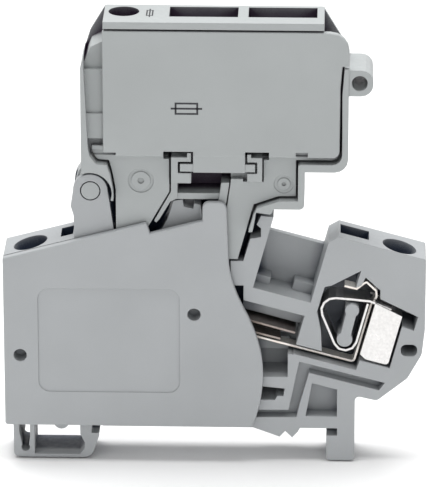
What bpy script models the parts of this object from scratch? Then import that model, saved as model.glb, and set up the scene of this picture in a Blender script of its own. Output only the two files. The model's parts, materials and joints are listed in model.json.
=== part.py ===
"""Fuse terminal block for a 35 mm rail, with a fuse holder that swings open.

The block is a flat slab: X runs along its length, Y through its thickness and Z up.
Lengths are in millimetres and are turned into metres where the shapes are made.
The origin lies between the two feet, at their ends.
"""

from math import asin, atan2, cos, degrees, radians, sin, tan

import bmesh
import bpy
from mathutils import Matrix, Vector

MM = 0.001

# Cartridge fuse
FUSE_LENGTH = 25.4
FUSE_RADIUS = 3.175
CAP_LENGTH = 6.35

# Overall size
HALF_LENGTH = 30.0
CORNER_HEIGHT = 31.1
TILT = radians(15.0)
FUSE_WALL = 0.825
RAIL_HALF = 17.65
RAIL_TOP = 5.0
RAIL_LIP = 1.15

# Walls and fits
PLATE = 0.9
WALL = 1.0
SKIN = 0.75
FIT = 0.3
SEAM = 0.25
FLOOR_STEP = 0.03
EDGE = 0.2

# Clamp unit, measured from its outer top corner: along the sloping top, and down from it
UNIT_LENGTH = 14.0
UNIT_CHAMFER = 1.2
ENTRY_ALONG = 3.9
ENTRY_MOUTH = 2.5
ENTRY_BORE = 1.9
ENTRY_DEPTH = 4.0
CAVITY_DEPTH = 17.4
STRIP = 0.32
BAR = 0.3
BAR_ALONG = 5.5
BAR_DEPTH = 18.4
JUMPER_END = 22.5
JUMPER_DEPTH = 10.7
CHAMBER_TOP = 12.9

# Fuse holder
PIVOT_INSET = 12.5
PIVOT_RISE = 9.9
LATCH_INSET = 24.0
TRUNNION = 1.3
PIVOT_GAP = 0.15
EAR = 2.45
FUSE_RISE = 15.2
TOP_ROOM = 7.025
HOLDER_OVERHANG = 1.2
HOLDER_END = 4.0
PANEL_FOOT = 5.6
LEFT_REACH = 11.75
KNIFE = 0.8
KNIFE_WIDTH = 1.4
FORK_GAP = 1.5
FORK_SHEET = 0.4

# Tongue of the cover and its two pins
TONGUE_LEFT = -8.95
TONGUE_RIGHT = -1.65
TONGUE_FOOT = 3.3
PIN_LOW = 3.4
PIN_HIGH = 4.5
LEFT_PIN = 1.85
RIGHT_PIN = 1.4

# Pins that hold the end plate
PLATE_PIN = 1.25
PLATE_PIN_HOLE = 0.95
PLATE_PIN_LENGTH = 2.5

PARTS = "fuse_terminal_block"
CUTTERS = "cutters"


# Scene and materials


def clear_scene():
    for obj in list(bpy.data.objects):
        bpy.data.objects.remove(obj, do_unlink=True)


def collection(name, hidden=False):
    made = bpy.data.collections.new(name)
    bpy.context.scene.collection.children.link(made)
    made.hide_render = hidden
    return made


def material(name, colour, roughness, metallic=0.0, transmission=0.0):
    made = bpy.data.materials.new(name)
    made.use_nodes = True
    shader = made.node_tree.nodes["Principled BSDF"]
    shader.inputs["Base Color"].default_value = (*colour, 1.0)
    shader.inputs["Roughness"].default_value = roughness
    shader.inputs["Metallic"].default_value = metallic
    shader.inputs["Transmission Weight"].default_value = transmission
    return made


# Outlines, as lists of (x, z), or (x, z, radius) where a corner is round


def polar(centre, radius, angle):
    """The point at this distance and angle in degrees from the centre."""
    return (centre[0] + radius * cos(radians(angle)), centre[1] + radius * sin(radians(angle)))


def arc(centre, radius, start, end, steps=10):
    return [polar(centre, radius, start + (end - start) * i / steps) for i in range(steps + 1)]


def box(left, right, bottom, top):
    return [(left, bottom), (right, bottom), (right, top), (left, top)]


def turned(corner, before, after, radius, steps=4):
    """An arc of this radius that touches both sides of a corner."""
    point = Vector(corner)
    first = (Vector(before) - point).normalized()
    second = (Vector(after) - point).normalized()
    half = first.angle(second) / 2
    centre = point + (first + second).normalized() * (radius / sin(half))
    start = point + first * (radius / tan(half)) - centre
    end = point + second * (radius / tan(half)) - centre
    begin = degrees(atan2(start.y, start.x))
    sweep = (degrees(atan2(end.y, end.x)) - begin + 180) % 360 - 180
    return arc(centre, radius, begin, begin + sweep, steps)


def rounded(corners, closed=True):
    """An outline whose corners (x, z, radius) are rounded where a radius is given."""
    points = []
    for i, corner in enumerate(corners):
        inner = closed or 0 < i < len(corners) - 1
        if len(corner) > 2 and inner:
            before = corners[i - 1][:2]
            after = corners[(i + 1) % len(corners)][:2]
            points += turned(corner[:2], before, after, corner[2])
        else:
            points.append(tuple(corner[:2]))
    return points


def bezier(start, pull, push, end, steps=8):
    """Points along a cubic curve, without its first point."""
    found = []
    for i in range(1, steps + 1):
        t = i / steps
        weights = ((1 - t) ** 3, 3 * t * (1 - t) ** 2, 3 * t * t * (1 - t), t**3)
        four = (start, pull, push, end)
        found.append(tuple(sum(w * p[k] for w, p in zip(weights, four)) for k in (0, 1)))
    return found


def dog_bone(first, second, radii, waist):
    """Two round heads and the narrower web between them."""
    direction = degrees(atan2(second[1] - first[1], second[0] - first[0]))
    spread = [degrees(asin(waist / 2 / radius)) for radius in radii]
    near = arc(first, radii[0], direction + spread[0], direction + 360 - spread[0], 14)
    far = arc(second, radii[1], direction + 180 + spread[1], direction + 540 - spread[1], 14)
    return near + far


def at(place, corners):
    """The outline, moved so that it is measured from this place."""
    return [(place[0] + corner[0], place[1] + corner[1], *corner[2:]) for corner in corners]


def unit(along, down):
    """A point of the right clamp unit, in its sloping directions."""
    x = HALF_LENGTH - along * cos(TILT) - down * sin(TILT)
    z = CORNER_HEIGHT + along * sin(TILT) - down * cos(TILT)
    return (x, z)


def units(corners):
    return [(*unit(*corner[:2]), *corner[2:]) for corner in corners]


def unit_box(first, last, top, bottom):
    return [(first, top), (last, top), (last, bottom), (first, bottom)]


def mirrored(points):
    return [(-p[0], *p[1:]) for p in reversed(points)]


def on_side(corners, side):
    """An outline of the right unit, or its mirror image in the left one."""
    points = units(corners)
    return points if side > 0 else mirrored(points)


def band(path, width):
    """The outline of a flat strip of this width along a path."""
    sides = ([], [])
    for i, point in enumerate(path):
        here = Vector(point)
        before = here - Vector(path[i - 1]) if i else Vector(path[1]) - here
        after = Vector(path[i + 1]) - here if i + 1 < len(path) else before
        first = before.normalized()
        second = after.normalized()
        normal = Vector((-(first + second).y, (first + second).x)).normalized()
        reach = width / 2 / normal.dot(Vector((-first.y, first.x)))
        sides[0].append(tuple(here + normal * reach))
        sides[1].append(tuple(here - normal * reach))
    return sides[0] + sides[1][::-1]


def lengthened(path, extra):
    first = Vector(path[0]) - Vector(path[1])
    last = Vector(path[-1]) - Vector(path[-2])
    start = Vector(path[0]) + first.normalized() * extra
    end = Vector(path[-1]) + last.normalized() * extra
    return [tuple(start)] + path[1:-1] + [tuple(end)]


# Solids


def curve_object(name, line, half_width, closed):
    data = bpy.data.curves.new(name, "CURVE")
    data.dimensions = "2D"
    data.fill_mode = "NONE"
    data.extrude = half_width * MM
    spline = data.splines.new("POLY")
    spline.points.add(len(line) - 1)
    for point, (x, z) in zip(spline.points, line):
        point.co = (x * MM, z * MM, 0, 1)
    spline.use_cyclic_u = closed
    return bpy.data.objects.new(name, data)


def soften(shape, front, width):
    """Bevels the edges round the front face."""
    rim = [edge for edge in shape.edges if all(abs(vert.co.y - front * MM) < 1e-6 for vert in edge.verts)]
    bmesh.ops.bevel(shape, geom=rim, offset=width * MM, segments=2, profile=0.5, affect="EDGES")


def as_mesh(made, group, front=None, soft=0.0):
    """The curve object's shape as a mesh object. A closed outline gets one flat face at each end."""
    bpy.context.scene.collection.objects.link(made)
    bpy.context.view_layer.update()
    graph = bpy.context.evaluated_depsgraph_get()
    name = made.name
    made.name = name + "_outline"
    mesh = bpy.data.meshes.new_from_object(made.evaluated_get(graph))
    mesh.transform(made.matrix_world)
    welded = bmesh.new()
    welded.from_mesh(mesh)
    bmesh.ops.remove_doubles(welded, verts=welded.verts, dist=1e-6)
    if made.data.splines[0].use_cyclic_u:
        bmesh.ops.holes_fill(welded, edges=welded.edges)
    bmesh.ops.recalc_face_normals(welded, faces=welded.faces)
    if soft:
        soften(welded, front, soft)
    welded.to_mesh(mesh)
    welded.free()
    bpy.data.objects.remove(made, do_unlink=True)
    solid = bpy.data.objects.new(name, mesh)
    bpy.data.collections[group].objects.link(solid)
    return solid


def upright(front, back):
    """Stands a flat outline up in XZ, halfway between two planes of Y."""
    return Matrix.Translation((0, (front + back) / 2 * MM, 0)) @ Matrix.Rotation(radians(90), 4, "X")


def prism(name, outline, front, back, group=CUTTERS, soft=0.0):
    """A solid with this outline, between two planes of Y."""
    made = curve_object(name, outline, (back - front) / 2, True)
    made.matrix_world = upright(front, back)
    return as_mesh(made, group, front, soft)


def strip(name, path, thickness, front, back, group=CUTTERS):
    """A bent strip of sheet that follows an open path."""
    made = curve_object(name, path, (back - front) / 2, False)
    made.matrix_world = upright(front, back)
    ribbon = as_mesh(made, group)
    sheet = ribbon.modifiers.new("sheet", "SOLIDIFY")
    sheet.thickness = thickness * MM
    sheet.offset = 0
    sheet.use_even_offset = True
    return ribbon


def cone(name, top, axis, radii, length, group=CUTTERS, sides=32):
    """A round solid from this point along the axis, with its first and last radius."""
    mesh = bpy.data.meshes.new(name)
    shape = bmesh.new()
    first, last = (radius * MM for radius in radii)
    bmesh.ops.create_cone(
        shape, cap_ends=True, segments=sides, radius1=first, radius2=last, depth=length * MM
    )
    direction = Vector(axis).normalized()
    place = Matrix.Translation(Vector(top) * MM + direction * (length / 2 * MM))
    shape.transform(place @ direction.to_track_quat("Z", "Y").to_matrix().to_4x4())
    shape.to_mesh(mesh)
    shape.free()
    solid = bpy.data.objects.new(name, mesh)
    bpy.data.collections[group].objects.link(solid)
    return solid


def rod(name, place, radius, front, back, sides=32):
    """A round cutter or boss through the thickness, at this (x, z)."""
    return cone(name, (place[0], front, place[1]), (0, 1, 0), (radius, radius), back - front, sides=sides)


def combine(target, tool, operation):
    change = target.modifiers.new(tool.name, "BOOLEAN")
    change.operation = operation
    change.object = tool
    change.solver = "EXACT"
    tool.hide_render = True
    tool.display_type = "WIRE"


def cut(target, *tools):
    for tool in tools:
        combine(target, tool, "DIFFERENCE")


def join(target, *tools):
    for tool in tools:
        combine(target, tool, "UNION")


def finish(solid, look, parent=None):
    solid.data.materials.append(look)
    if parent:
        solid.parent = parent
        solid.matrix_parent_inverse = parent.matrix_world.inverted()
    return solid


# Planes of Y that follow from the sizes above

BACK = FUSE_RADIUS + FUSE_WALL
FRONT = -BACK
PLATE_BACK = FRONT + PLATE
FACE = PLATE_BACK + SEAM
FLOOR = BACK - WALL
LEG_FRONT = PLATE_BACK + FIT
LEG_BACK = FLOOR - FIT
INNER_FRONT = LEG_FRONT + SKIN + FIT
LAYER_BACK = LEG_FRONT + SKIN
EAR_FRONT = FACE + 1.3
EAR_BACK = BACK - 1.5
LUG_FRONT = EAR_FRONT + FIT
LUG_BACK = EAR_BACK - FIT
SPRING_FRONT = FACE + 0.55
SPRING_BACK = FLOOR - 1.3
CAGE_FRONT = FACE + SEAM
CAGE_BACK = FLOOR - 1.0
BAR_FRONT = FACE + 1.55
BAR_BACK = FLOOR - 2.2
OPEN_FRONT = FRONT - 1.0
OPEN_BACK = BACK + 1.0

# Places that follow from the sizes above

UNDERSIDE = RAIL_TOP + 0.45
PIVOT = (PIVOT_INSET - HALF_LENGTH, CORNER_HEIGHT + PIVOT_RISE)
LATCH = (HALF_LENGTH - LATCH_INSET, PIVOT[1])
RIGHT_REACH = LATCH[0] - PIVOT[0] + 0.1
KNIFE_OFFSET = FUSE_LENGTH / 2 + FIT + KNIFE_WIDTH / 2
LEFT_KNIFE_X = PIVOT[0] + 4.9
FUSE_CENTRE = (LEFT_KNIFE_X + KNIFE_OFFSET, PIVOT[1] + FUSE_RISE)
RIGHT_KNIFE_X = FUSE_CENTRE[0] + KNIFE_OFFSET
HOLDER_LEFT = PIVOT[0] - HOLDER_OVERHANG
HOLDER_RIGHT = RIGHT_KNIFE_X + HOLDER_END
HOLDER_TOP = FUSE_CENTRE[1] + FUSE_RADIUS + TOP_ROOM
LEFT_KNIFE = [(LEFT_KNIFE_X, FUSE_CENTRE[1] + 2.4), (LEFT_KNIFE_X, PIVOT[1] - 9.8)]
RIGHT_KNIFE = [(RIGHT_KNIFE_X, FUSE_CENTRE[1] + 2.4), (RIGHT_KNIFE_X, FUSE_CENTRE[1] - 5.2)]
RIGHT_KNIFE += at(LATCH, [(-2.4, FUSE_RISE - 5.2), (-2.4, 2.0), (-2.9, -2.1), (-4.95, -12.4)])
LEFT_LEG = at(PIVOT, [(3.6, 5.0), (3.6, -7.7), (6.8, -7.7), (8.55, -4.6), (11.0, 0.0), (11.0, 5.0)])
RIGHT_LEG = at(LATCH, [(-3.7, 5.0), (-3.7, 1.4), (-4.2, -2.1), (-5.5, -10.1)])
RIGHT_LEG += at(LATCH, [(-2.7, -10.1), (-0.45, -1.8), (3.0, -0.6), (3.0, 5.0)])
RIGHT_STEM_X = LATCH[0] - 4.4
PLATE_PINS = [(LATCH[0] - 8.85, LATCH[1] - 18.2), (2.3 - HALF_LENGTH, CORNER_HEIGHT - 14.8)]


def bar_height(x):
    """The top of the current bar's long run, above this place."""
    return CORNER_HEIGHT + (HALF_LENGTH - abs(x)) * tan(TILT) - (BAR_DEPTH - BAR / 2) / cos(TILT)


# Base housing


def left_foot():
    end = 1.1 - HALF_LENGTH
    return [
        (-HALF_LENGTH, UNDERSIDE, 0.3),
        (end, UNDERSIDE),
        (end, 0, 0.8),
        (-RAIL_HALF - 0.05, 0, 1.6),
        (1.05 - RAIL_HALF, 3.4),
        (1.05 - RAIL_HALF, RAIL_TOP - RAIL_LIP),
        (-RAIL_HALF, RAIL_TOP - RAIL_LIP),
        (-RAIL_HALF, UNDERSIDE),
        (1.45 - RAIL_HALF, UNDERSIDE),
        (1.65 - RAIL_HALF, RAIL_TOP),
    ]


def right_foot():
    toe = RAIL_HALF + 2.5
    catch = [(5.6, RAIL_TOP), (9.4, 3.6), (10.2, 4.5), (11.2, 3.5), (12.0, 4.4), (12.3, RAIL_TOP)]
    hook = [
        (RAIL_HALF, RAIL_TOP),
        (RAIL_HALF, RAIL_TOP - RAIL_LIP),
        (RAIL_HALF - 1.55, RAIL_TOP - RAIL_LIP),
        (RAIL_HALF - 1.55, 0, 0.6),
        (toe, 0, 0.6),
        (toe, CORNER_HEIGHT - 21.0, 0.6),
    ]
    corner = (HALF_LENGTH, CORNER_HEIGHT)
    flank = [(-6.7, -21.7, 0.8), (-2.4, -18.2, 1.5), (-0.4, -14.5, 2.0), (0, -10.6), (0, 0, 0.3)]
    return catch + hook + at(corner, flank)


def housing_top():
    right_unit = units([(UNIT_LENGTH - UNIT_CHAMFER, 0), (UNIT_LENGTH, UNIT_CHAMFER), (UNIT_LENGTH, 3.7)])
    latch_wall = units([(JUMPER_END, 3.7), (JUMPER_END, -0.4)])
    latch_wall += at(LATCH, [(0.6, -3.5), (0, -4.8), (-0.6, -5.3)])
    right_rib = at(LATCH, [(-7.5, -4.9), (-7.9, -2.4), (-8.9, -2.2), (-9.0, -3.0)])
    left_rib = at(LATCH, [(-10.3, -2.7), (-10.55, -1.6), (-11.8, -1.8), (-13.6, -5.7)])
    shoulder = PIVOT[0] + 8.0
    left_unit = [
        (shoulder, CORNER_HEIGHT + (shoulder + HALF_LENGTH) * tan(TILT)),
        (-HALF_LENGTH, CORNER_HEIGHT, 0.3),
    ]
    return right_unit + latch_wall + right_rib + left_rib + left_unit


def ear_outline():
    return arc(PIVOT, EAR, 0, 180, 16) + at(PIVOT, [(-2.8, -2.3), (-2.4, -3.7), (-2.3, -8.5), (3.5, -7.5)])


def clamp_cavity():
    """The hollow that holds the clamp, in the directions of the unit."""
    wire_side = [(4.6, 7.5), (-1.3, 8.7), (-1.3, 10.9), (0.5, 10.75)]
    wire_side += [(0.45, CAVITY_DEPTH), (4.9, CAVITY_DEPTH)]
    hook_side = [(12.75, 9.6), (12.72, 7.85), (11.85, 7.4), (8.4, 4.1), (8.4, 6.8)]
    hook_side += [(7.75, 6.25), (7.5, 4.9), (5.0, 6.2)]
    tunnel_floor = BAR_DEPTH + BAR / 2 + 0.4
    tunnel_roof = BAR_DEPTH - BAR / 2 - 0.8
    tunnel = [(5.0, tunnel_floor), (14.4, tunnel_floor), (14.4, tunnel_roof), (10.5, tunnel_roof)]
    spring_side = [(11.5, 14.4), (12.3, 12.75), (12.75, 11.8)]
    return hook_side + wire_side + tunnel + spring_side


def contact_chamber(reach):
    """The hollow between the unit's inner wall and the middle of the block."""
    return unit_box(14.3, reach, CHAMBER_TOP, BAR_DEPTH + BAR / 2 + 0.55)


def screw_slot_and_entry(side):
    """The cutters of the screwdriver slot and the wire funnel, through the sloping top."""
    down = (-side * sin(TILT), 0, -cos(TILT))
    mouth = unit(ENTRY_ALONG, -0.05)
    top = (side * mouth[0], -FIT, mouth[1])
    funnel = cone("entry_funnel", top, down, (ENTRY_MOUTH, ENTRY_BORE + 0.1), ENTRY_DEPTH)
    below = unit(ENTRY_ALONG, ENTRY_DEPTH - 1.0)
    bore = cone("entry_bore", (side * below[0], -FIT, below[1]), down, (ENTRY_BORE, ENTRY_BORE), 6.5)
    inner = 12.6 if side > 0 else 10.2
    slot = prism("screw_slot", on_side(unit_box(8.4, inner, -1.0, 8.5), side), -0.9, 2.5)
    return funnel, bore, slot


def housing_hollows():
    """The outlines of the hollows that open to the front."""
    clamp = units(clamp_cavity())
    left_chamber = mirrored(units(contact_chamber(24.6)))
    left_pocket = at(PIVOT, [(3.3, 4.0), (3.3, -11.6), (6.6, -11.6)]) + arc(PIVOT, LEFT_REACH, -58, 12, 8)
    right_pocket = at(LATCH, [(-7.0, 4.0), (-7.0, -10.4), (-1.9, -10.4), (-0.9, -7.0)])
    right_pocket += at(LATCH, [(0.6, -6.7), (0.6, -5.4), (-0.05, -4.8), (0.5, -3.4), (0.5, 4.0)])
    jumper_recess = units(unit_box(UNIT_LENGTH, JUMPER_END, -1.0, JUMPER_DEPTH))
    fork_neck = at(LATCH, box(-6.9, -3.7, -15.0, -10.0))
    fork_room = at(LATCH, box(-7.1, -1.85, -20.0, -14.1))
    bar_room = at(LATCH, [(-1.0, -22.6), (-1.0, -28.1), (4.5, -28.1), (4.5, -23.6)])
    low_room = [(5.0, 6.6), (10.1, 6.1), (9.9, 4.9), (9.0, 4.9), (8.7, 4.3), (5.0, 4.3)]
    return [
        clamp,
        units(contact_chamber(25.5)),
        mirrored(clamp),
        left_chamber,
        left_pocket,
        right_pocket,
        jumper_recess,
        fork_neck,
        fork_room,
        bar_room,
        at((LATCH[0] - 6.0, RAIL_TOP), low_room),
    ]


def cut_fork_rooms(body):
    """The rooms of the left contact fork and the path of the knives."""
    fork_room = at((LEFT_KNIFE_X, PIVOT[1]), box(-1.8, 1.8, -15.6, -8.0))
    stem_room = box(LEFT_KNIFE_X - 0.7, LEFT_KNIFE_X + 0.7, bar_height(LEFT_KNIFE_X) - 0.1, PIVOT[1] - 15.0)
    half = FORK_GAP / 2 + FORK_SHEET + 0.45
    cut(body, prism("left_fork_room", fork_room, -half, half + 0.05))
    cut(body, prism("left_stem_room", stem_room, 0.1 - half, half - 0.05))
    sweep = arc(PIVOT, RIGHT_REACH - 0.1, -38, 0, 12) + arc(PIVOT, RIGHT_REACH - 5.6, 0, -38, 8)
    cut(body, prism("knife_sweep", sweep, -KNIFE / 2 - 0.5, KNIFE / 2 + 0.5))


def cut_side_grooves(body):
    """The groove and the panel on the right of the end plate, and the small oval hole."""
    groove = units([(0.5, 19.75), (13.15, 19.9)])
    groove += at((LATCH[0], RAIL_TOP), [(4.65, 2.8), (-1.0, 2.75), (-1.0, 1.6), (5.8, 1.65)])
    groove += units([(11.35, 26.5), (11.35, 21.2), (1.0, 21.1)])
    cut(body, prism("groove", groove, OPEN_FRONT, FACE + 1.8))
    side_panel = units([(10.5, 22.6), (6.8, 22.6)])
    side_panel += at((HALF_LENGTH, RAIL_TOP), [(-12.4, 1.8), (-16.9, 1.85)])
    cut(body, prism("side_panel", side_panel, OPEN_FRONT, FACE + 2.6))
    oval = at((HALF_LENGTH, CORNER_HEIGHT), box(-3.4, -1.05, -14.8, -13.0))
    oval = rounded([(*corner, 0.75) for corner in oval])
    cut(body, prism("oval_hole", oval, OPEN_FRONT, FACE + 4.25))


def cut_foot_openings(body):
    """The slot and the window through the left foot."""
    end = 1.1 - HALF_LENGTH
    slot = [(end + 0.8, 5.2), (end + 0.8, 3.9)] + arc((end + 1.7, 1.5), 0.62, 140, 400)
    slot += [(end + 2.35, 3.2), (end + 2.35, 5.2)]
    heel = -RAIL_HALF - 1.0
    left, right = end + 3.0, heel - 0.65
    window = [(left, 5.2), (left, 0.5), (heel - 0.75, 0.5), (heel - 0.05, 1.3), (heel, 2.3)]
    window += [(right, 3.7), (right, 5.2)]
    window += arc((left + (right - left) * 13 / 22, 5.55), (right - left) / 6, -20, -160, 8)
    cut(body, prism("foot_slot", slot, OPEN_FRONT, OPEN_BACK))
    cut(body, prism("foot_window", window, OPEN_FRONT, OPEN_BACK))


def add_ledges(body):
    """The steps on the floors of the hollows, and the wall behind the legs of the holder."""
    root = FLOOR + 0.2
    near_step = units(unit_box(JUMPER_END - 2.3, JUMPER_END + 0.2, 9.6, JUMPER_DEPTH + 0.2))
    far_step = units(unit_box(UNIT_LENGTH - 0.35, UNIT_LENGTH + 2.8, 9.27, JUMPER_DEPTH + 0.3))
    join(body, prism("near_step", near_step, 0.0, root), prism("far_step", far_step, 0.5, root + 0.02))
    for side, name, start in ((1, "right_shelf", 14.0), (-1, "left_shelf", 16.0)):
        shelf = on_side(unit_box(start, 23.0, CHAMBER_TOP - 0.2, CHAMBER_TOP + 2.5), side)
        join(body, prism(name, shelf, 0.45, root + 0.05))
    bar_shelf = at(LATCH, [(-1.2, -25.5), (4.7, -25.5), (4.7, -23.7), (-1.2, -22.8)])
    join(body, prism("bar_shelf", bar_shelf, 1.5, root + 0.1))
    right_screen = at(LATCH, box(-7.9, -1.6, -6.0, -1.2))
    left_screen = at(PIVOT, box(2.9, 8.6, -8.4, -1.4))
    join(body, prism("right_screen", right_screen, FLOOR - 0.1, BACK - 0.05))
    join(body, prism("left_screen", left_screen, FLOOR - 0.05, BACK - 0.08))


def base_housing():
    outline = rounded(left_foot() + right_foot() + housing_top())
    body = prism("base_housing", outline, FACE, BACK, PARTS)
    ears = ear_outline()
    join(body, prism("front_ear", ears, FACE, EAR_FRONT), prism("back_ear", ears, EAR_BACK, BACK))
    for i, hollow in enumerate(housing_hollows()):
        # No two floors lie in one plane, so that the cuts stay clean where hollows run together.
        cut(body, prism(f"hollow_{i}", hollow, OPEN_FRONT, FLOOR - FLOOR_STEP * i))
    cut_fork_rooms(body)
    cut_side_grooves(body)
    cut_foot_openings(body)
    cut(body, prism("rib_recess", at(LATCH, box(-14.4, -7.95, -6.6, -1.0)), OPEN_FRONT, FACE + 1.2))
    cut(body, rod("pivot_bore", PIVOT, TRUNNION + PIVOT_GAP, OPEN_FRONT, OPEN_BACK))
    for side in (1, -1):
        cut(body, *screw_slot_and_entry(side))
    for i, place in enumerate(PLATE_PINS):
        socket_end = PLATE_BACK + PLATE_PIN_LENGTH + FIT
        cut(body, rod(f"pin_socket_{i}", place, PLATE_PIN + FIT, OPEN_FRONT, socket_end))
    add_ledges(body)
    post = dog_bone(*units([(8.0, 10.3), (7.85, 14.85)]), (1.0, 1.12), 1.45)
    for name, outline in (("right_post", post), ("left_post", mirrored(post))):
        join(body, prism(name, outline, FACE, FLOOR + 0.15))
    return body


def end_plate():
    slope = tan(TILT)
    shoulder = PIVOT[0] + 7.95
    foot = (LATCH[0] - 0.55, UNDERSIDE)
    waist = at(LATCH, [(-3.95, -9.8), (-3.9, -12.4), (-2.8, -15.4), (-1.3, -18.2)])
    belly = at(LATCH, [(-1.3, -18.2), (0.1, -21.1), (1.0, -24.2), (1.0, -27.4)])
    heel = [belly[3], (LATCH[0] + 1.0, UNDERSIDE + 5.35), (LATCH[0] + 0.5, UNDERSIDE + 2.55), foot]
    flap = at(LATCH, [(-7.65, -6.0 + 7.4 * slope), (-7.65, -1.2, 0.9), (-4.28, -1.2, 1.1), (-3.95, -9.8)])
    outline = rounded(
        [
            foot,
            (-HALF_LENGTH, UNDERSIDE, 0.4),
            (-HALF_LENGTH, CORNER_HEIGHT, 0.25),
            (shoulder, CORNER_HEIGHT + (shoulder + HALF_LENGTH) * slope, 0.3),
            (shoulder + 0.5, PIVOT[1] - 6.0),
        ]
        + flap
    )
    outline += bezier(*waist) + bezier(*belly) + bezier(*heel)[:-1]
    plate = prism("end_plate", outline, FRONT, PLATE_BACK, PARTS, soft=EDGE)
    left, right = 4.9 - HALF_LENGTH, LATCH[0] - 10.9
    bottom, top = UNDERSIDE + 5.25, CORNER_HEIGHT - 4.5
    field = rounded([(left, bottom, 1.6), (right, bottom, 1.6), (right, top, 1.6), (left, top, 1.6)])
    cut(plate, prism("label_field", field, OPEN_FRONT, FRONT + 0.15))
    pin_end = PLATE_BACK + PLATE_PIN_LENGTH
    for i, place in enumerate(PLATE_PINS):
        join(plate, rod(f"plate_pin_{i}", place, PLATE_PIN, PLATE_BACK - 0.3, pin_end, 24))
        cut(plate, rod(f"plate_hole_{i}", place, PLATE_PIN_HOLE, OPEN_FRONT, pin_end - 1.0, 24))
    return plate


# Clamp parts


def clamp_spring(side, name):
    corners = [(2.6, 8.9), (5.9, 8.45), (13.74, 9.8, 1.9), (6.06, 19.97, 1.64), (6.06, 8.9)]
    path = rounded(units(corners), closed=False)
    path = path if side > 0 else mirrored(path)
    spring = strip(name, path, STRIP, SPRING_FRONT, SPRING_BACK, PARTS)
    foot = CAVITY_DEPTH - FIT
    cage = on_side([(0.8, foot, 0.5), (0.86, 9.35), (5.08, 8.45), (5.08, foot - 0.55), (4.1, foot)], side)
    inside = on_side([(1.25, foot + 1), (1.25, 9.75), (4.65, 9.03), (4.65, foot + 1)], side)
    join(spring, prism(name + "_cage", rounded(cage), CAGE_FRONT, CAGE_BACK))
    cut(spring, prism(name + "_window", inside, CAGE_FRONT + 0.45, CAGE_BACK - 0.45))
    bar_slot = on_side(unit_box(4.85, 5.83, 8.0, 9.4), side)
    cut(spring, prism(name + "_bar_slot", bar_slot, BAR_FRONT - FIT, BAR_BACK + FIT))
    wire_hole = on_side(unit_box(2.4, 4.7, 8.0, 9.7), side)
    cut(spring, prism(name + "_wire_hole", wire_hole, SPRING_FRONT + 0.8, SPRING_BACK - 0.8))
    return spring


def current_bar(side, name):
    hook = [(9.9, 7.55), (8.1, 7.5), (7.4, 6.5), (7.05, 6.1, 0.2), (5.35, 7.05, 0.4), (5.05, 7.9, 0.4)]
    run = [(BAR_ALONG, 9.3), (BAR_ALONG, BAR_DEPTH, 0.5), (24.2, BAR_DEPTH)]
    path = rounded(units(hook + run), closed=False)
    path = path if side > 0 else mirrored(path)
    return strip(name, path, BAR, BAR_FRONT, BAR_BACK, PARTS)


def contact_leaf(side, name):
    corners = [(14.8, 16.1), (22.6, 16.0, 0.6), (22.6, 17.6, 0.6), (16.6, 17.55)]
    path = rounded(units(corners), closed=False)
    path = path if side > 0 else mirrored(path)
    return strip(name, path, BAR, SPRING_FRONT + 0.3, SPRING_BACK, PARTS)


def contact_fork(name, sides, heights, stem):
    """Two cheeks that grip the knife, over a stem that stands on the current bar."""
    left, right = sides
    bottom, top = heights
    half = FORK_GAP / 2 + FORK_SHEET
    fork = prism(name, box(left, right, bottom, top), -half, half, PARTS)
    gap = box(left - 1, right + 1, bottom + 0.6, top + 1)
    cut(fork, prism(name + "_gap", gap, -FORK_GAP / 2, FORK_GAP / 2))
    foot = box(stem - 0.4, stem + 0.4, bar_height(stem) + FIT, bottom + 0.2)
    join(fork, prism(name + "_stem", foot, SEAM - half, half - SEAM))
    return fork


# Fuse holder


def corner_radius():
    """The round corner under the right end, kept inside the step beside it."""
    return min(1.9, 0.9 * (HOLDER_RIGHT - LATCH[0] - 6.7))


def back_wall_outline():
    step = at(LATCH, [(6.7, -0.7), (6.7, 3.5)])
    return rounded(
        [
            (PIVOT[0] + 3.3, PIVOT[1] + 1.4),
            (PIVOT[0] + 3.3, PIVOT[1] - 0.7),
            *step,
            (HOLDER_RIGHT, LATCH[1] + 3.5, corner_radius()),
            (HOLDER_RIGHT, HOLDER_TOP - 6.0, 0.8),
            (HOLDER_RIGHT - 3.6, HOLDER_TOP, 0.5),
            (HOLDER_LEFT + 3.2, HOLDER_TOP, 0.5),
            (HOLDER_LEFT + 1.1, HOLDER_TOP - 3.5, 3.0),
            (HOLDER_LEFT, HOLDER_TOP - 7.0, 1.0),
            (HOLDER_LEFT, PIVOT[1] + 5.0),
            (PIVOT[0] + 3.3, PIVOT[1] + 5.0),
        ]
    )


def left_rim_outline():
    around = arc(PIVOT, EAR + 0.65, 115, -20, 12)
    seam = [(3.3, -1.05), (3.3, 0.2), (2.9, 2.7), (2.4, 4.3, 0.3), (0.9, 4.4, 0.5)]
    seam += [(0.0, 5.6, 0.5), (-0.25, 7.0)]
    wall = [(HOLDER_LEFT + 0.4, HOLDER_TOP - 5.5), (HOLDER_LEFT, HOLDER_TOP - 6.8)]
    wall.append((HOLDER_LEFT, PIVOT[1] + 3.0))
    return rounded(around + at(PIVOT, seam) + wall)


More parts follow.
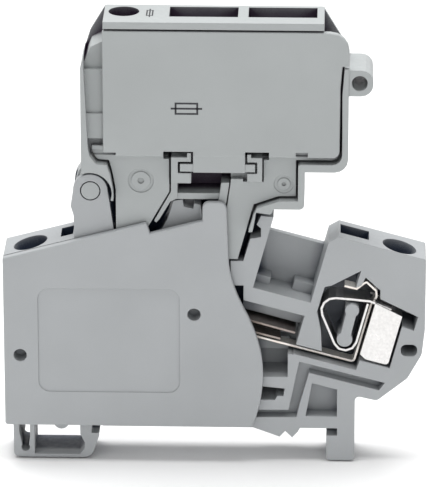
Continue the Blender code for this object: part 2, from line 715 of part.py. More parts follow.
def right_rim_outline():
    outer = [(HOLDER_RIGHT, HOLDER_TOP - 6.6), (HOLDER_RIGHT, LATCH[1] + 3.5, corner_radius())]
    step = at(LATCH, [(6.7, 3.5), (6.7, -2.1, 0.7), (2.4, -2.1), (2.0, -2.9, 0.3), (-0.05, -2.6)])
    catch = [polar(PIVOT, RIGHT_REACH - 0.05, angle) for angle in (-6.5, -9.0, -11.5, -13.6)]
    arm = at(LATCH, [(-1.15, -5.55), (-0.95, -4.8), (-0.45, -3.0), (0.05, -2.0), (3.2, -0.9)])
    shelf = at(LATCH, [(5.8, -0.85), (5.8, 4.6, 0.4)])
    inner_x = HOLDER_RIGHT - 0.85
    wall = [
        (inner_x, LATCH[1] + 4.6, corner_radius() - 0.5),
        (inner_x, LATCH[1] + 9.0),
        (inner_x - 0.05, HOLDER_TOP - 10.4),
        (inner_x + 0.25, HOLDER_TOP - 6.6),
    ]
    return rounded(outer + step + catch + arm + shelf + wall)


def clip_outline(mouth, throat, back, bottom, finger):
    """A C-shaped clip, measured from the latch, that opens towards the tongue and has a finger on top."""
    step = 0.55 if back > mouth else -0.55
    top = PIN_HIGH + 0.95
    outline = [
        (back, top),
        (mouth + step, top),
        (mouth + step, top + finger),
        (mouth, top + finger),
        (mouth, PIN_HIGH + FIT),
        (throat, PIN_HIGH + FIT),
        (throat, PIN_LOW - FIT),
        (mouth, PIN_LOW - FIT),
        (mouth, bottom),
        (back, bottom),
    ]
    return at(LATCH, outline)


def add_clips(shell):
    """The two clips that hold the pins of the tongue."""
    left_mouth, right_mouth = TONGUE_LEFT - FIT, TONGUE_RIGHT + FIT
    left_throat, right_throat = TONGUE_LEFT - LEFT_PIN - FIT, TONGUE_RIGHT + RIGHT_PIN + FIT
    left = clip_outline(left_mouth, left_throat, left_throat - 0.95, 1.6, 0.65)
    right = clip_outline(right_mouth, right_throat, right_throat + 0.7, 1.9, 0.5)
    join(shell, prism("left_clip", left, FRONT + FIT, LEG_BACK - 0.2))
    join(shell, prism("right_clip", right, FRONT + FIT, LEG_BACK - 0.2))


def add_inner_walls(shell):
    """The narrow walls beside the legs and the bridge between them."""
    left_wall = at(PIVOT, [(11.4, 5.0), (11.4, 0.0), (9.0, -4.4), (9.3, -4.7), (9.8, -4.1), (11.3, -1.5)])
    left_wall += at(PIVOT, [(12.3, -1.0), (12.3, 5.0)])
    right_wall = at(LATCH, [(-5.0, 1.4), (-3.87, 1.4), (-4.37, -1.9), (-5.5, -1.9)])
    bridge = box(PIVOT[0] + 11.8, LATCH[0] - 4.7, LATCH[1] - 1.2, LATCH[1] - 0.3)
    join(shell, prism("left_wall", left_wall, LEG_FRONT, LEG_BACK - FIT))
    join(shell, prism("right_wall", right_wall, LEG_FRONT, LEG_BACK - FIT))
    join(shell, prism("bridge", bridge, LEG_FRONT + FIT, LEG_BACK - 0.1))


def add_left_blocks(shell):
    """The blocks and the wall between the left rim and the fuse carrier."""
    x, z = HOLDER_LEFT, FUSE_CENTRE[1]
    wall = [(x + 0.3, z - 9.9), (x + 3.5, z - 9.9), (x + 3.5, HOLDER_TOP - 3.3)]
    wall += [(x + 1.35, HOLDER_TOP - 4.4), (x + 0.3, HOLDER_TOP - 6.9)]
    upper = [(x + 0.25, z + 2.7), (x + 0.7, z - 3.8), (x + 3.5, z - 3.8), (x + 3.5, z + 2.7)]
    lower = [(x + 0.7, z - 3.6), (x + 0.85, z - 7.3), (x + 3.5, z - 7.3), (x + 3.5, z - 3.6)]
    join(shell, prism("left_inner_wall", wall, LAYER_BACK + SEAM, BACK - 0.35))
    join(shell, prism("upper_block", upper, FRONT + 1.4, BACK - 0.45))
    join(shell, prism("lower_block", lower, FRONT + SKIN + FIT, BACK - 0.4))


def add_eyelet(shell):
    left, right = HOLDER_RIGHT - 0.4, HOLDER_RIGHT + 3.4
    bottom, top = FUSE_CENTRE[1] - 0.4, FUSE_CENTRE[1] + 3.4
    outline = rounded([(left, bottom), (right, bottom, 1.7), (right, top, 1.7), (left, top)])
    join(shell, prism("eyelet", outline, FRONT + 0.15, BACK - 0.25))
    cut(shell, rod("eyelet_hole", (HOLDER_RIGHT + 1.5, (bottom + top) / 2), 1.12, OPEN_FRONT, OPEN_BACK, 24))


def add_top_block(shell):
    left, right = HOLDER_LEFT + 3.2, HOLDER_RIGHT - 3.5
    front = FRONT + SKIN + FIT
    join(shell, prism("top_block", box(left, right, HOLDER_TOP - 3.8, HOLDER_TOP), front, BACK - 0.2))
    join(shell, prism("top_lip", box(left, right, HOLDER_TOP - 1.0, HOLDER_TOP), FRONT, BACK - 0.4))
    cut(shell, cone("top_recess", (left + 2.75, 0.95, HOLDER_TOP + 1), (0, 0, -1), (2.15, 2.15), 3.0))
    for i, start in enumerate((left + 9.15, left + 20.2)):
        marker = box(start, start + 9.6, HOLDER_TOP - 1.8, HOLDER_TOP + 1)
        cut(shell, prism(f"marker_recess_{i}", marker, FRONT + 2.8, BACK - 0.8))


def fuse_relief(name, radius):
    start = (FUSE_CENTRE[0] - FUSE_LENGTH / 2 - FIT, 0, FUSE_CENTRE[1])
    return cone(name, start, (1, 0, 0), (radius, radius), FUSE_LENGTH + 2 * FIT)


def holder_shell():
    shell = prism("holder_shell", back_wall_outline(), BACK - SKIN, BACK, PARTS)
    join(shell, prism("left_rim", left_rim_outline(), FRONT, BACK - 0.1))
    join(shell, prism("right_rim", right_rim_outline(), FRONT, BACK - 0.1))
    add_top_block(shell)
    add_eyelet(shell)
    cut(shell, prism("latch_clearance", at(LATCH, box(-2.5, 1.2, -6.5, -2.7)), LEG_BACK - 0.2, OPEN_BACK))
    cut(shell, fuse_relief("shell_relief", FUSE_RADIUS + FIT))
    back_step = box(PIVOT[0] + 3.3, LATCH[0] + 6.5, PIVOT[1] - 0.6, PIVOT[1] + 5.9)
    join(shell, prism("back_step", back_step, LEG_BACK - 1.0, BACK - 0.3))
    join(shell, prism("left_leg", LEFT_LEG, INNER_FRONT, LEG_BACK))
    join(shell, prism("right_leg", RIGHT_LEG, INNER_FRONT, LEG_BACK))
    add_clips(shell)
    add_inner_walls(shell)
    add_left_blocks(shell)
    lug = arc(PIVOT, EAR - 0.15, 180, 360, 16)
    lug += at(PIVOT, [(2.4, 1.5), (3.1, 3.6), (-0.9, 3.6), (-1.8, 2.2)])
    join(shell, prism("lug", lug, LUG_FRONT, LUG_BACK))
    join(shell, rod("trunnion", PIVOT, TRUNNION, FACE, BACK - 0.1, sides=28))
    for name, path in (("left_slot", LEFT_KNIFE), ("right_slot", RIGHT_KNIFE)):
        slot = band(lengthened(path, 1.5), KNIFE_WIDTH + 2 * FIT)
        cut(shell, prism(name, slot, -KNIFE / 2 - FIT, KNIFE / 2 + FIT))
    return shell


def cover_layer_outline():
    """The recessed layer of the cover, with both legs and room for the clips between them."""
    left_end = [(0.3, 6.8), (0.3, 5.9, 0.5), (1.1, 4.75, 0.5), (2.7, 4.65, 0.3), (3.2, 2.6), (3.6, 0.2)]
    left_leg = [(3.6, -7.7), (6.8, -7.7), (8.55, -4.6), (11.15, 0.0), (11.15, 6.6)]
    middle = [(-9.0, 6.6), (-9.0, TONGUE_FOOT + FIT), (-1.9, TONGUE_FOOT + FIT), (-1.9, 2.0), (-3.65, 2.0)]
    right_leg = [(-3.7, 1.4), (-4.2, -2.1), (-5.5, -10.1), (-2.7, -10.1), (-0.45, -1.8), (3.0, -0.55)]
    right_end = at(LATCH, [(5.5, -0.5), (5.5, 4.9)])
    right_end.append((HOLDER_RIGHT - 1.2, LATCH[1] + 4.9, corner_radius() - 0.7))
    head = [(HOLDER_RIGHT - 1.2, LATCH[1] + 7.6)] + at(PIVOT, [(2.0, 7.6), (2.0, 6.8)])
    return rounded(at(PIVOT, left_end + left_leg) + at(LATCH, middle + right_leg) + right_end + head)


def panel_outline():
    foot, right = PIVOT[1] + PANEL_FOOT, HOLDER_RIGHT + 0.05
    left = HOLDER_LEFT + 3.1
    return rounded(
        [
            (left, foot, 0.25),
            (right - 1.25, foot, 1.0),
            (right - 1.2, HOLDER_TOP - 9.4),
            (right - 0.95, HOLDER_TOP - 6.3),
            (right, HOLDER_TOP - 6.25),
            (right, HOLDER_TOP - 1.3, 2.7),
            (left, HOLDER_TOP - 1.3, 0.25),
        ]
    )


def cut_cover_notches(cover):
    """The notches round the two clips, and the shallow ones in the foot of the panel."""
    top = PIN_HIGH + 1.9
    deep = [box(-13.15, TONGUE_LEFT + 0.2, 4.9, top), box(TONGUE_RIGHT - 0.2, 1.7, 4.9, top)]
    deep.append(box(TONGUE_RIGHT - 0.3, 0.95, 1.6, 5.5))
    for i, notch in enumerate(deep):
        cut(cover, prism(f"clip_notch_{i}", at(LATCH, notch), OPEN_FRONT, LAYER_BACK + 1.0))
    cut(cover, prism("left_notch", at(PIVOT, box(-0.2, 3.7, 5.45, 6.2)), OPEN_FRONT, LEG_FRONT + 0.3))
    cut(cover, prism("right_notch", at(LATCH, box(5.45, 7.15, 5.45, 6.4)), OPEN_FRONT, LEG_FRONT + 0.32))


def add_cover_rings(cover):
    """The two round marks beside the legs, each a shallow ring round a disc."""
    marks = ((at(PIVOT, [(7.15, 1.6)])[0], 1.8, 1.35), (at(LATCH, [(3.8, 1.3)])[0], 1.4, 0.9))
    for i, (place, ring, disc) in enumerate(marks):
        cut(cover, rod(f"ring_{i}", place, ring, OPEN_FRONT, LEG_FRONT + 0.12, 28))
        join(cover, rod(f"disc_{i}", place, disc, LEG_FRONT - 0.03, LEG_FRONT + 0.4, 24))
        cut(cover, rod(f"dimple_{i}", place, disc / 3, OPEN_FRONT, LEG_FRONT + 0.2, 16))


def holder_cover():
    cover = prism("holder_cover", panel_outline(), FRONT, FRONT + SKIN, PARTS, soft=EDGE)
    join(cover, prism("cover_layer", cover_layer_outline(), LEG_FRONT, LAYER_BACK))
    step = box(HOLDER_LEFT + 3.3, HOLDER_RIGHT - 1.4, PIVOT[1] + 6.4, PIVOT[1] + 7.4)
    join(cover, prism("cover_step", step, FRONT + 0.55, LAYER_BACK - 0.1))
    cut_cover_notches(cover)
    add_cover_rings(cover)
    tongue = at(LATCH, box(TONGUE_LEFT, TONGUE_RIGHT, TONGUE_FOOT, 7.0))
    pins = at(LATCH, box(TONGUE_LEFT - LEFT_PIN, TONGUE_RIGHT + RIGHT_PIN, PIN_LOW, PIN_HIGH))
    join(cover, prism("tongue", tongue, FRONT + 0.05, LEG_FRONT + 0.2))
    join(cover, prism("tongue_pins", pins, FRONT + 0.15, FRONT + 1.0))
    cut(cover, fuse_relief("cover_relief", FUSE_RADIUS + FIT))
    return cover


def fuse_carrier():
    left, right = HOLDER_LEFT + 3.8, HOLDER_RIGHT - 1.6
    floor, top = FUSE_CENTRE[1] - 7.2, FUSE_CENTRE[1] + 2.8
    tray = [(left, floor), (right, floor), (right, top), (right - 1.3, top), (right - 1.3, floor + 1.0)]
    tray += [(left + 0.6, floor + 1.0), (left + 0.6, top), (left, top)]
    carrier = prism("fuse_carrier", tray, FRONT + SKIN + FIT, BACK - SKIN - FIT, PARTS)
    for i, x in enumerate((FUSE_CENTRE[0] - 7.1, FUSE_CENTRE[0] + 6.9)):
        saddle = box(x - 0.8, x + 0.8, floor + 0.8, FUSE_CENTRE[1] - 1.5)
        join(carrier, prism(f"saddle_{i}", saddle, FRONT + SKIN + 0.4, BACK - SKIN - 0.4))
    cut(carrier, fuse_relief("fuse_seat", FUSE_RADIUS + SEAM))
    for name, path in (("carrier_left_slot", LEFT_KNIFE), ("carrier_right_slot", RIGHT_KNIFE)):
        slot = band(lengthened(path, 1.0), KNIFE_WIDTH + 2 * FIT)
        cut(carrier, prism(name, slot, -KNIFE / 2 - FIT, KNIFE / 2 + FIT))
    return carrier


def fuse_contact(name, path):
    return prism(name, band(path, KNIFE_WIDTH), -KNIFE / 2, KNIFE / 2, PARTS)


def fuse_spring():
    """The leaf that presses the fuse along its length, behind the left contact."""
    bow = LEFT_KNIFE_X - KNIFE_WIDTH / 2 - FIT - 0.1
    ends = bow - 0.25
    corners = [(ends, FUSE_CENTRE[1] - 5.9), (bow, FUSE_CENTRE[1], 2.0), (ends, FUSE_CENTRE[1] + 2.5)]
    return strip("fuse_spring", rounded(corners, closed=False), 0.2, FRONT + 2.0, BACK - 2.0, PARTS)


# Cartridge fuse

CAP_END = 0.6
TUBE_RADIUS = FUSE_RADIUS - 0.5
TUBE_WALL = 0.6


def fuse_tube():
    start = (FUSE_CENTRE[0] - FUSE_LENGTH / 2 + CAP_END + FIT, 0, FUSE_CENTRE[1])
    length = FUSE_LENGTH - 2 * (CAP_END + FIT)
    tube = cone("fuse_tube", start, (1, 0, 0), (TUBE_RADIUS, TUBE_RADIUS), length, PARTS)
    cut(tube, fuse_relief("tube_bore", TUBE_RADIUS - TUBE_WALL))
    return tube


def fuse_wire():
    start = (FUSE_CENTRE[0] - FUSE_LENGTH / 2 + CAP_END + FIT, 0, FUSE_CENTRE[1])
    return cone("fuse_wire", start, (1, 0, 0), (0.15, 0.15), FUSE_LENGTH - 2 * (CAP_END + FIT), PARTS, 12)


def fuse_cap(side, name):
    end = (FUSE_CENTRE[0] + side * FUSE_LENGTH / 2, 0, FUSE_CENTRE[1])
    cap = cone(name, end, (-side, 0, 0), (FUSE_RADIUS, FUSE_RADIUS), CAP_LENGTH, PARTS)
    inner = TUBE_RADIUS + FIT / 2
    hollow_start = (end[0] - side * CAP_END, 0, end[2])
    cut(cap, cone(name + "_hollow", hollow_start, (-side, 0, 0), (inner, inner), CAP_LENGTH))
    return cap


def main():
    clear_scene()
    collection(PARTS)
    collection(CUTTERS, hidden=True)
    housing = material("polyamide_grey", (0.39, 0.41, 0.4), 0.55)
    holder = material("polyamide_light_grey", (0.42, 0.44, 0.43), 0.5)
    tinned = material("tinned_copper", (0.72, 0.7, 0.68), 0.3, 1.0)
    spring = material("spring_steel", (0.78, 0.78, 0.77), 0.22, 1.0)
    nickel = material("nickel_plate", (0.66, 0.64, 0.6), 0.25, 1.0)
    glass = material("glass", (0.9, 0.93, 0.93), 0.05, 0.0, 0.9)

    finish(base_housing(), housing)
    finish(end_plate(), housing)
    for side, word in ((-1, "left"), (1, "right")):
        finish(clamp_spring(side, f"clamp_spring_{word}"), spring)
        finish(current_bar(side, f"current_bar_{word}"), tinned)
        finish(contact_leaf(side, f"contact_leaf_{word}"), spring)
    left_sides = (LEFT_KNIFE_X - 1.3, LEFT_KNIFE_X + 1.5)
    right_sides = (LATCH[0] - 6.5, LATCH[0] - 4.0)
    left_heights = (PIVOT[1] - 15.0, PIVOT[1] - 8.4)
    right_heights = (LATCH[1] - 16.2, LATCH[1] - 10.8)
    finish(contact_fork("contact_fork_left", left_sides, left_heights, LEFT_KNIFE_X), tinned)
    finish(contact_fork("contact_fork_right", right_sides, right_heights, RIGHT_STEM_X), tinned)

    pivot = bpy.data.objects.new("holder_pivot", None)
    pivot.location = (PIVOT[0] * MM, 0, PIVOT[1] * MM)
    bpy.data.collections[PARTS].objects.link(pivot)
    bpy.context.view_layer.update()
    finish(holder_shell(), holder, pivot)
    finish(holder_cover(), holder, pivot)
    finish(fuse_carrier(), holder, pivot)
    finish(fuse_contact("fuse_contact_left", LEFT_KNIFE), tinned, pivot)
    finish(fuse_contact("fuse_contact_right", RIGHT_KNIFE), tinned, pivot)
    finish(fuse_spring(), spring, pivot)
    finish(fuse_tube(), glass, pivot)
    finish(fuse_wire(), tinned, pivot)
    finish(fuse_cap(-1, "fuse_cap_left"), nickel, pivot)
    finish(fuse_cap(1, "fuse_cap_right"), nickel, pivot)


main()
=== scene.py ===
"""Looks, lights and camera for the fuse terminal block, in metres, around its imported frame."""

import json
from math import cos, radians, sin

import bmesh
import bpy
from mathutils import Matrix, Vector


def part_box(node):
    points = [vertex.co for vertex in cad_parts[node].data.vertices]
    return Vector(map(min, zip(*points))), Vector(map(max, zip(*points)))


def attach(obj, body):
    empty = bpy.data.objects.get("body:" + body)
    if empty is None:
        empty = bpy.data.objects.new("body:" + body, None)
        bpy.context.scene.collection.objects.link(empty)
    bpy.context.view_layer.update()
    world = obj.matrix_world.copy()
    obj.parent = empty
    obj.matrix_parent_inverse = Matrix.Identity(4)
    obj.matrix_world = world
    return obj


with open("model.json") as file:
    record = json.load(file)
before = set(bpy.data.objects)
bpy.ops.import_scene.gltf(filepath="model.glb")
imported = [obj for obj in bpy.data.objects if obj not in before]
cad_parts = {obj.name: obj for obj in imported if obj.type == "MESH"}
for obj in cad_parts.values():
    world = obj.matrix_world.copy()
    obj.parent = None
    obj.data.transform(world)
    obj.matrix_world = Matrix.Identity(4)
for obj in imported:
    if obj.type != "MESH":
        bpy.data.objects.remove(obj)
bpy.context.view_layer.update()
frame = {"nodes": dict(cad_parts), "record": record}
NODES = frame["nodes"]

MM = 0.001
FRONT_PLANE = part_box("holder_cover")[0][1]
TOP_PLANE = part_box("holder_shell")[1][2]

# Camera, fitted to the photograph's frame
FRAME_HEIGHT = 487
FOCAL_PIXELS = 4501
SENSOR_WIDTH = 36
CAMERA_DISTANCE = 0.640
CAMERA_TURN = radians(1.7)
CAMERA_RISE = radians(21.0)
CAMERA_TARGET = Vector((-0.000124, 0, 0.032147))
CAMERA_CLIP = (0.01, 20)

# Light
SKY_LIGHT = 0.4
AIM = Vector((0, 0, 0.03))
LAMPS = (
    # name, place, size, power in watts
    ("key", (-0.35, -0.55, 0.75), (0.5, 0.5), 0.7),
    ("fill", (0.15, -0.95, 0.28), (0.5, 0.4), 1.0),
    ("top", (0.0, 0.1, 0.9), (0.8, 0.6), 10.2),
)
FLOOR_HALF = 4
FLOOR_LEVEL = -0.0002
FLOOR_COLOUR = (0.95, 0.95, 0.95)
FLOOR_ROUGHNESS = 0.6

# Printed ink, in millimetres: centres as (x, z) on the front and (y, x) on the top
INK_HEIGHT = 0.02
FRONT_SIGN = {"centre": (-3.86, 53.8), "length": 3.3, "width": 1.8, "lead": 0.55, "stroke": 0.27}
TOP_SIGN = {"centre": (0.3, -9.1), "length": 2.6, "width": 1.0, "lead": 0.5, "stroke": 0.2}

# Edges: the radius that light sees, and how far the normal turns (as a cosine) from flat to edge
MOULD_RADIUS = 0.00016
SHEET_RADIUS = 0.0001
EDGE_TURN = (0.995, 0.8)

# Painted shade in hollows, darkened into the colour: how far it looks for walls, how open the closed
# and the open places are, the tones of slots in plastic and in sheet metal, and the depths (y) between
# which a wide hollow darkens
SLOT_WIDTH = 0.0014
SLOT_OPENNESS = (0.05, 0.6)
SLOT_TONES = (0.15, 1.0)
SHEET_OPENNESS = (0.1, 0.8)
SHEET_TONES = (0.55, 1.0)
HOLLOW_WIDTH = 0.007
HOLLOW_OPENNESS = (0.2, 0.75)
HOLLOW_DEPTHS = (-0.0013, 0.0012)

# Noise textures, as (scale for each metre, detail)
CLOUDS = (90.0, 3.0)
PATCHES = (330.0, 2.0)
SCUFFS = (620.0, 5.0)
SPECKS = (1500.0, 4.0)
FINE_GRAIN = (5200.0, 2.0)
ROLLED_STREAKS = (2600.0, 3.0)
SMEARS = (420.0, 2.0)
GLASS_STREAKS = (300.0, 2.0)
THIN_INK = (2400.0, 3.0)

# The values of a noise that are used, and what they turn into
NOISE_RANGE = (0.3, 0.7)
INNER_RANGE = (0.35, 0.65)
PATCH_RANGE = (0.35, 0.6)
SCUFF_RANGE = (0.62, 0.72)
CLOUD_TONES = (0.965, 1.035)
STREAK_TONES = (0.9, 1.05)
INK_TONES = (0.8, 1.8)
RUBBED_SHARES = (0.1, 0.5)
BARE_SHARES = (0.15, 1.0)
SCUFF_SHINE = (0.0, 0.12)

# Sheet metal: how much of the normal points along y where a strip's cut edge begins
FACING_FRONT = (0.8, 0.95)

# Moulded plastic
PALER = 1.32
SCUFF_STRETCH = (1.0, 1.0, 9.0)
SCUFF_TURN = radians(24.0)
FINE_SHARE = 0.6
MOULD_SPECULAR = 0.4

# Glass and ink
GLASS_COLOUR = (0.93, 0.96, 0.95)
GLASS_ROUGHNESS = (0.02, 0.06)
GLASS_IOR = 1.5
INK_ROUGHNESS = 0.6

# Relief, as (strength, height in metres)
MOULD_GRAIN = (0.25, 0.00004)
ROLLED_GRAIN = (0.08, 0.00003)

# Sockets of the Mix node when it mixes colours
FIRST_COLOUR = 6
SECOND_COLOUR = 7
MIXED_COLOUR = 2


# Shader nodes


def nodes_of(name):
    """A new material, its node tree and its shader."""
    made = bpy.data.materials.new(name)
    made.use_nodes = True
    tree = made.node_tree
    return made, tree, tree.nodes["Principled BSDF"]


def add(tree, kind, **values):
    """A node of this kind. Each value goes to the input of that name, or else to the setting."""
    node = tree.nodes.new(kind)
    for key, value in values.items():
        if key in node.inputs:
            node.inputs[key].default_value = value
        else:
            setattr(node, key, value)
    return node


def calculated(tree, operation, first, second):
    node = add(tree, "ShaderNodeMath", operation=operation)
    tree.links.new(first, node.inputs[0])
    tree.links.new(second, node.inputs[1])
    return node.outputs["Value"]


def times(tree, first, second):
    return calculated(tree, "MULTIPLY", first, second)


def ranged(tree, value, span, result):
    """The value, moved from one range to another and kept inside it."""
    node = add(tree, "ShaderNodeMapRange")
    for key, number in zip(("From Min", "From Max", "To Min", "To Max"), (*span, *result)):
        node.inputs[key].default_value = number
    tree.links.new(value, node.inputs["Value"])
    return node.outputs["Result"]


def set_colour(tree, socket, colour):
    """Gives the socket a colour, which is a tuple or another node's output."""
    if isinstance(colour, tuple):
        socket.default_value = (*colour, 1)
    else:
        tree.links.new(colour, socket)


def toned(tree, colour, factor):
    """This colour, made lighter or darker by a factor that changes over the surface."""
    node = add(tree, "ShaderNodeMix", data_type="RGBA", blend_type="MULTIPLY", Factor=1.0)
    set_colour(tree, node.inputs[FIRST_COLOUR], colour)
    tree.links.new(factor, node.inputs[SECOND_COLOUR])
    return node.outputs[MIXED_COLOUR]


def blended(tree, factor, first, second):
    """The first colour where the factor is 0, and the second where it is 1."""
    node = add(tree, "ShaderNodeMix", data_type="RGBA")
    tree.links.new(factor, node.inputs["Factor"])
    set_colour(tree, node.inputs[FIRST_COLOUR], first)
    set_colour(tree, node.inputs[SECOND_COLOUR], second)
    return node.outputs[MIXED_COLOUR]


def stretched(tree, vector, scale, turn=0.0):
    """The coordinates, turned about Y and scaled along each axis."""
    node = add(tree, "ShaderNodeMapping", Scale=scale, Rotation=(0.0, turn, 0.0))
    tree.links.new(vector, node.inputs["Vector"])
    return node.outputs["Vector"]


def noises(tree, vector, *kinds):
    """One noise texture for each (scale, detail)."""
    found = []
    for scale, detail in kinds:
        texture = add(tree, "ShaderNodeTexNoise", Scale=scale, Detail=detail)
        tree.links.new(vector, texture.inputs["Vector"])
        found.append(texture.outputs["Fac"])
    return found


def openness(tree, reach, span, result):
    """How open the surface is to walls within this reach, moved from one range to another."""
    around = add(tree, "ShaderNodeAmbientOcclusion", samples=8, Distance=reach)
    return ranged(tree, around.outputs["AO"], span, result)


def shade_in_hollows(tree, place, darkness, strengths):
    """Painted shade in hollows, as a factor for the colour: 1 in the open, less in narrow slots, and
    less in wide hollows the deeper they go behind the face.

    Each strength (axis, span, values before and after it) makes the painted shade in wide hollows
    lighter or darker from place to place.
    """
    along = add(tree, "ShaderNodeSeparateXYZ")
    tree.links.new(place, along.inputs["Vector"])
    closed = openness(tree, HOLLOW_WIDTH, HOLLOW_OPENNESS, (darkness, 0.0))
    closed = times(tree, ranged(tree, along.outputs["Y"], HOLLOW_DEPTHS, (0.0, 1.0)), closed)
    for axis, span, result in strengths:
        closed = times(tree, closed, ranged(tree, along.outputs[axis], span, result))
    lit = ranged(tree, closed, (0.0, 1.0), (1.0, 0.0))
    return times(tree, lit, openness(tree, SLOT_WIDTH, SLOT_OPENNESS, SLOT_TONES))


def round_edges(tree, radius):
    """The normal of edges rounded this far, and how near the surface is to such an edge."""
    edges = add(tree, "ShaderNodeBevel", samples=6, Radius=radius)
    surface = add(tree, "ShaderNodeNewGeometry")
    turn = add(tree, "ShaderNodeVectorMath", operation="DOT_PRODUCT")
    tree.links.new(edges.outputs["Normal"], turn.inputs[0])
    tree.links.new(surface.outputs["Normal"], turn.inputs[1])
    return edges.outputs["Normal"], ranged(tree, turn.outputs["Value"], EDGE_TURN, (0.0, 1.0))


def set_relief(tree, shader, height, normal, grain):
    """Bumps the shader's surface by this height, over a normal."""
    bump = add(tree, "ShaderNodeBump", Strength=grain[0], Distance=grain[1])
    tree.links.new(height, bump.inputs["Height"])
    tree.links.new(normal, bump.inputs["Normal"])
    tree.links.new(bump.outputs["Normal"], shader.inputs["Normal"])


# Materials


def moulded(name, colour, roughness, painted_shade_tint, darkness, strengths=()):
    """Moulded plastic: spark-eroded grain, faint flow clouds, paler rubbed edges, fine scuffs, and
    painted shade darkening its hollows.
    """
    made, tree, shader = nodes_of(name)
    link = tree.links.new
    place = add(tree, "ShaderNodeTexCoord").outputs["Object"]
    clouds, specks, fine, patches = noises(tree, place, CLOUDS, SPECKS, FINE_GRAIN, PATCHES)
    (scuffs,) = noises(tree, stretched(tree, place, SCUFF_STRETCH, SCUFF_TURN), SCUFFS)
    normal, edge = round_edges(tree, MOULD_RADIUS)

    rubbed = times(tree, edge, ranged(tree, patches, PATCH_RANGE, RUBBED_SHARES))
    paler = tuple(min(1.0, part * PALER) for part in colour)
    body = blended(tree, rubbed, colour, paler)
    body = toned(tree, body, ranged(tree, clouds, NOISE_RANGE, CLOUD_TONES))
    # Painted shade: in slots and deep hollows the colour darkens towards a tint that stands for shadow.
    lit = shade_in_hollows(tree, place, darkness, strengths)
    body = toned(tree, body, blended(tree, lit, painted_shade_tint, (1, 1, 1)))
    link(body, shader.inputs["Base Color"])

    matt = ranged(tree, specks, INNER_RANGE, (roughness - 0.05, roughness + 0.07))
    shine = ranged(tree, scuffs, SCUFF_RANGE, SCUFF_SHINE)
    link(calculated(tree, "SUBTRACT", matt, shine), shader.inputs["Roughness"])
    shader.inputs["Specular IOR Level"].default_value = MOULD_SPECULAR

    height = add(tree, "ShaderNodeMath", operation="MULTIPLY_ADD")
    link(fine, height.inputs[0])
    height.inputs[1].default_value = FINE_SHARE
    link(specks, height.inputs[2])
    set_relief(tree, shader, height.outputs["Value"], normal, MOULD_GRAIN)
    return made


def metal(name, colour, roughness, stretch, cut_edge=None, metallic=1.0):
    """Sheet metal with a rolled grain, faint smears of sheen, painted shade in its slots and, on a
    strip, its bare cut edges.
    """
    made, tree, shader = nodes_of(name)
    link = tree.links.new
    place = add(tree, "ShaderNodeTexCoord")
    grain = stretched(tree, place.outputs["Object"], stretch)
    streaks, smears = noises(tree, grain, ROLLED_STREAKS, SMEARS)
    body = toned(tree, colour, ranged(tree, streaks, NOISE_RANGE, STREAK_TONES))
    if cut_edge:
        facing = add(tree, "ShaderNodeSeparateXYZ")
        link(place.outputs["Normal"], facing.inputs["Vector"])
        across = add(tree, "ShaderNodeMath", operation="ABSOLUTE")
        link(facing.outputs["Y"], across.inputs[0])
        faced = ranged(tree, across.outputs["Value"], FACING_FRONT, (0.0, 1.0))
        bare = times(tree, faced, ranged(tree, smears, INNER_RANGE, BARE_SHARES))
        body = blended(tree, bare, body, cut_edge)
    # Painted shade: the colour darkens in narrow slots.
    body = toned(tree, body, openness(tree, SLOT_WIDTH, SHEET_OPENNESS, SHEET_TONES))
    link(body, shader.inputs["Base Color"])
    sheen = ranged(tree, smears, NOISE_RANGE, (roughness - 0.06, roughness + 0.1))
    link(sheen, shader.inputs["Roughness"])
    shader.inputs["Metallic"].default_value = metallic
    normal, _ = round_edges(tree, SHEET_RADIUS)
    set_relief(tree, shader, streaks, normal, ROLLED_GRAIN)
    return made


def clear_glass(name):
    """Thin glass with faint drawn streaks."""
    made, tree, shader = nodes_of(name)
    place = add(tree, "ShaderNodeTexCoord").outputs["Object"]
    (streaks,) = noises(tree, place, GLASS_STREAKS)
    shader.inputs["Base Color"].default_value = (*GLASS_COLOUR, 1)
    shader.inputs["Transmission Weight"].default_value = 1.0
    shader.inputs["IOR"].default_value = GLASS_IOR
    tree.links.new(ranged(tree, streaks, NOISE_RANGE, GLASS_ROUGHNESS), shader.inputs["Roughness"])
    return made


def ink(name, colour):
    """Printed ink, uneven where it lies thin on the grain."""
    made, tree, shader = nodes_of(name)
    place = add(tree, "ShaderNodeTexCoord").outputs["Object"]
    (thin,) = noises(tree, place, THIN_INK)
    body = toned(tree, colour, ranged(tree, thin, NOISE_RANGE, INK_TONES))
    tree.links.new(body, shader.inputs["Base Color"])
    shader.inputs["Roughness"].default_value = INK_ROUGHNESS
    return made


# The painted shade is darkest in the hollows of the foot and the wire entries, and lightest in those
# between the clamp and the end plate.
# Each row is an axis, a span along it, and the factors before and after.
HOUSING_STRENGTHS = (
    ("Z", (0.0048, 0.0056), (3.2, 1.0)),
    ("Z", (0.0262, 0.0275), (1.0, 2.0)),
    ("X", (0.0055, 0.0075), (1.0, 0.2)),
    ("X", (0.0135, 0.0165), (1.0, 4.0)),
)
# Each plastic's hollow tint and darkness set the colour and depth of its painted shade in hollows.
HOUSING = moulded(
    "housing_grey_moulded",
    colour=(0.38, 0.395, 0.406),
    roughness=0.5,
    painted_shade_tint=(0.02, 0.04, 0.09),
    darkness=1.0,
    strengths=HOUSING_STRENGTHS,
)
HOLDER = moulded(
    "holder_grey_moulded",
    colour=(0.379, 0.399, 0.401),
    roughness=0.46,
    painted_shade_tint=(0.05, 0.02, 0.06),
    darkness=1.6,
)
TINNED = metal("tinned_sheet", (0.8, 0.79, 0.77), 0.28, (1, 0.15, 1))
BAR = metal(
    "tinned_copper_strip",
    colour=(0.9, 0.88, 0.84),
    roughness=0.4,
    stretch=(1, 0.15, 1),
    cut_edge=(0.88, 0.8, 0.73),
    metallic=0.55,
)
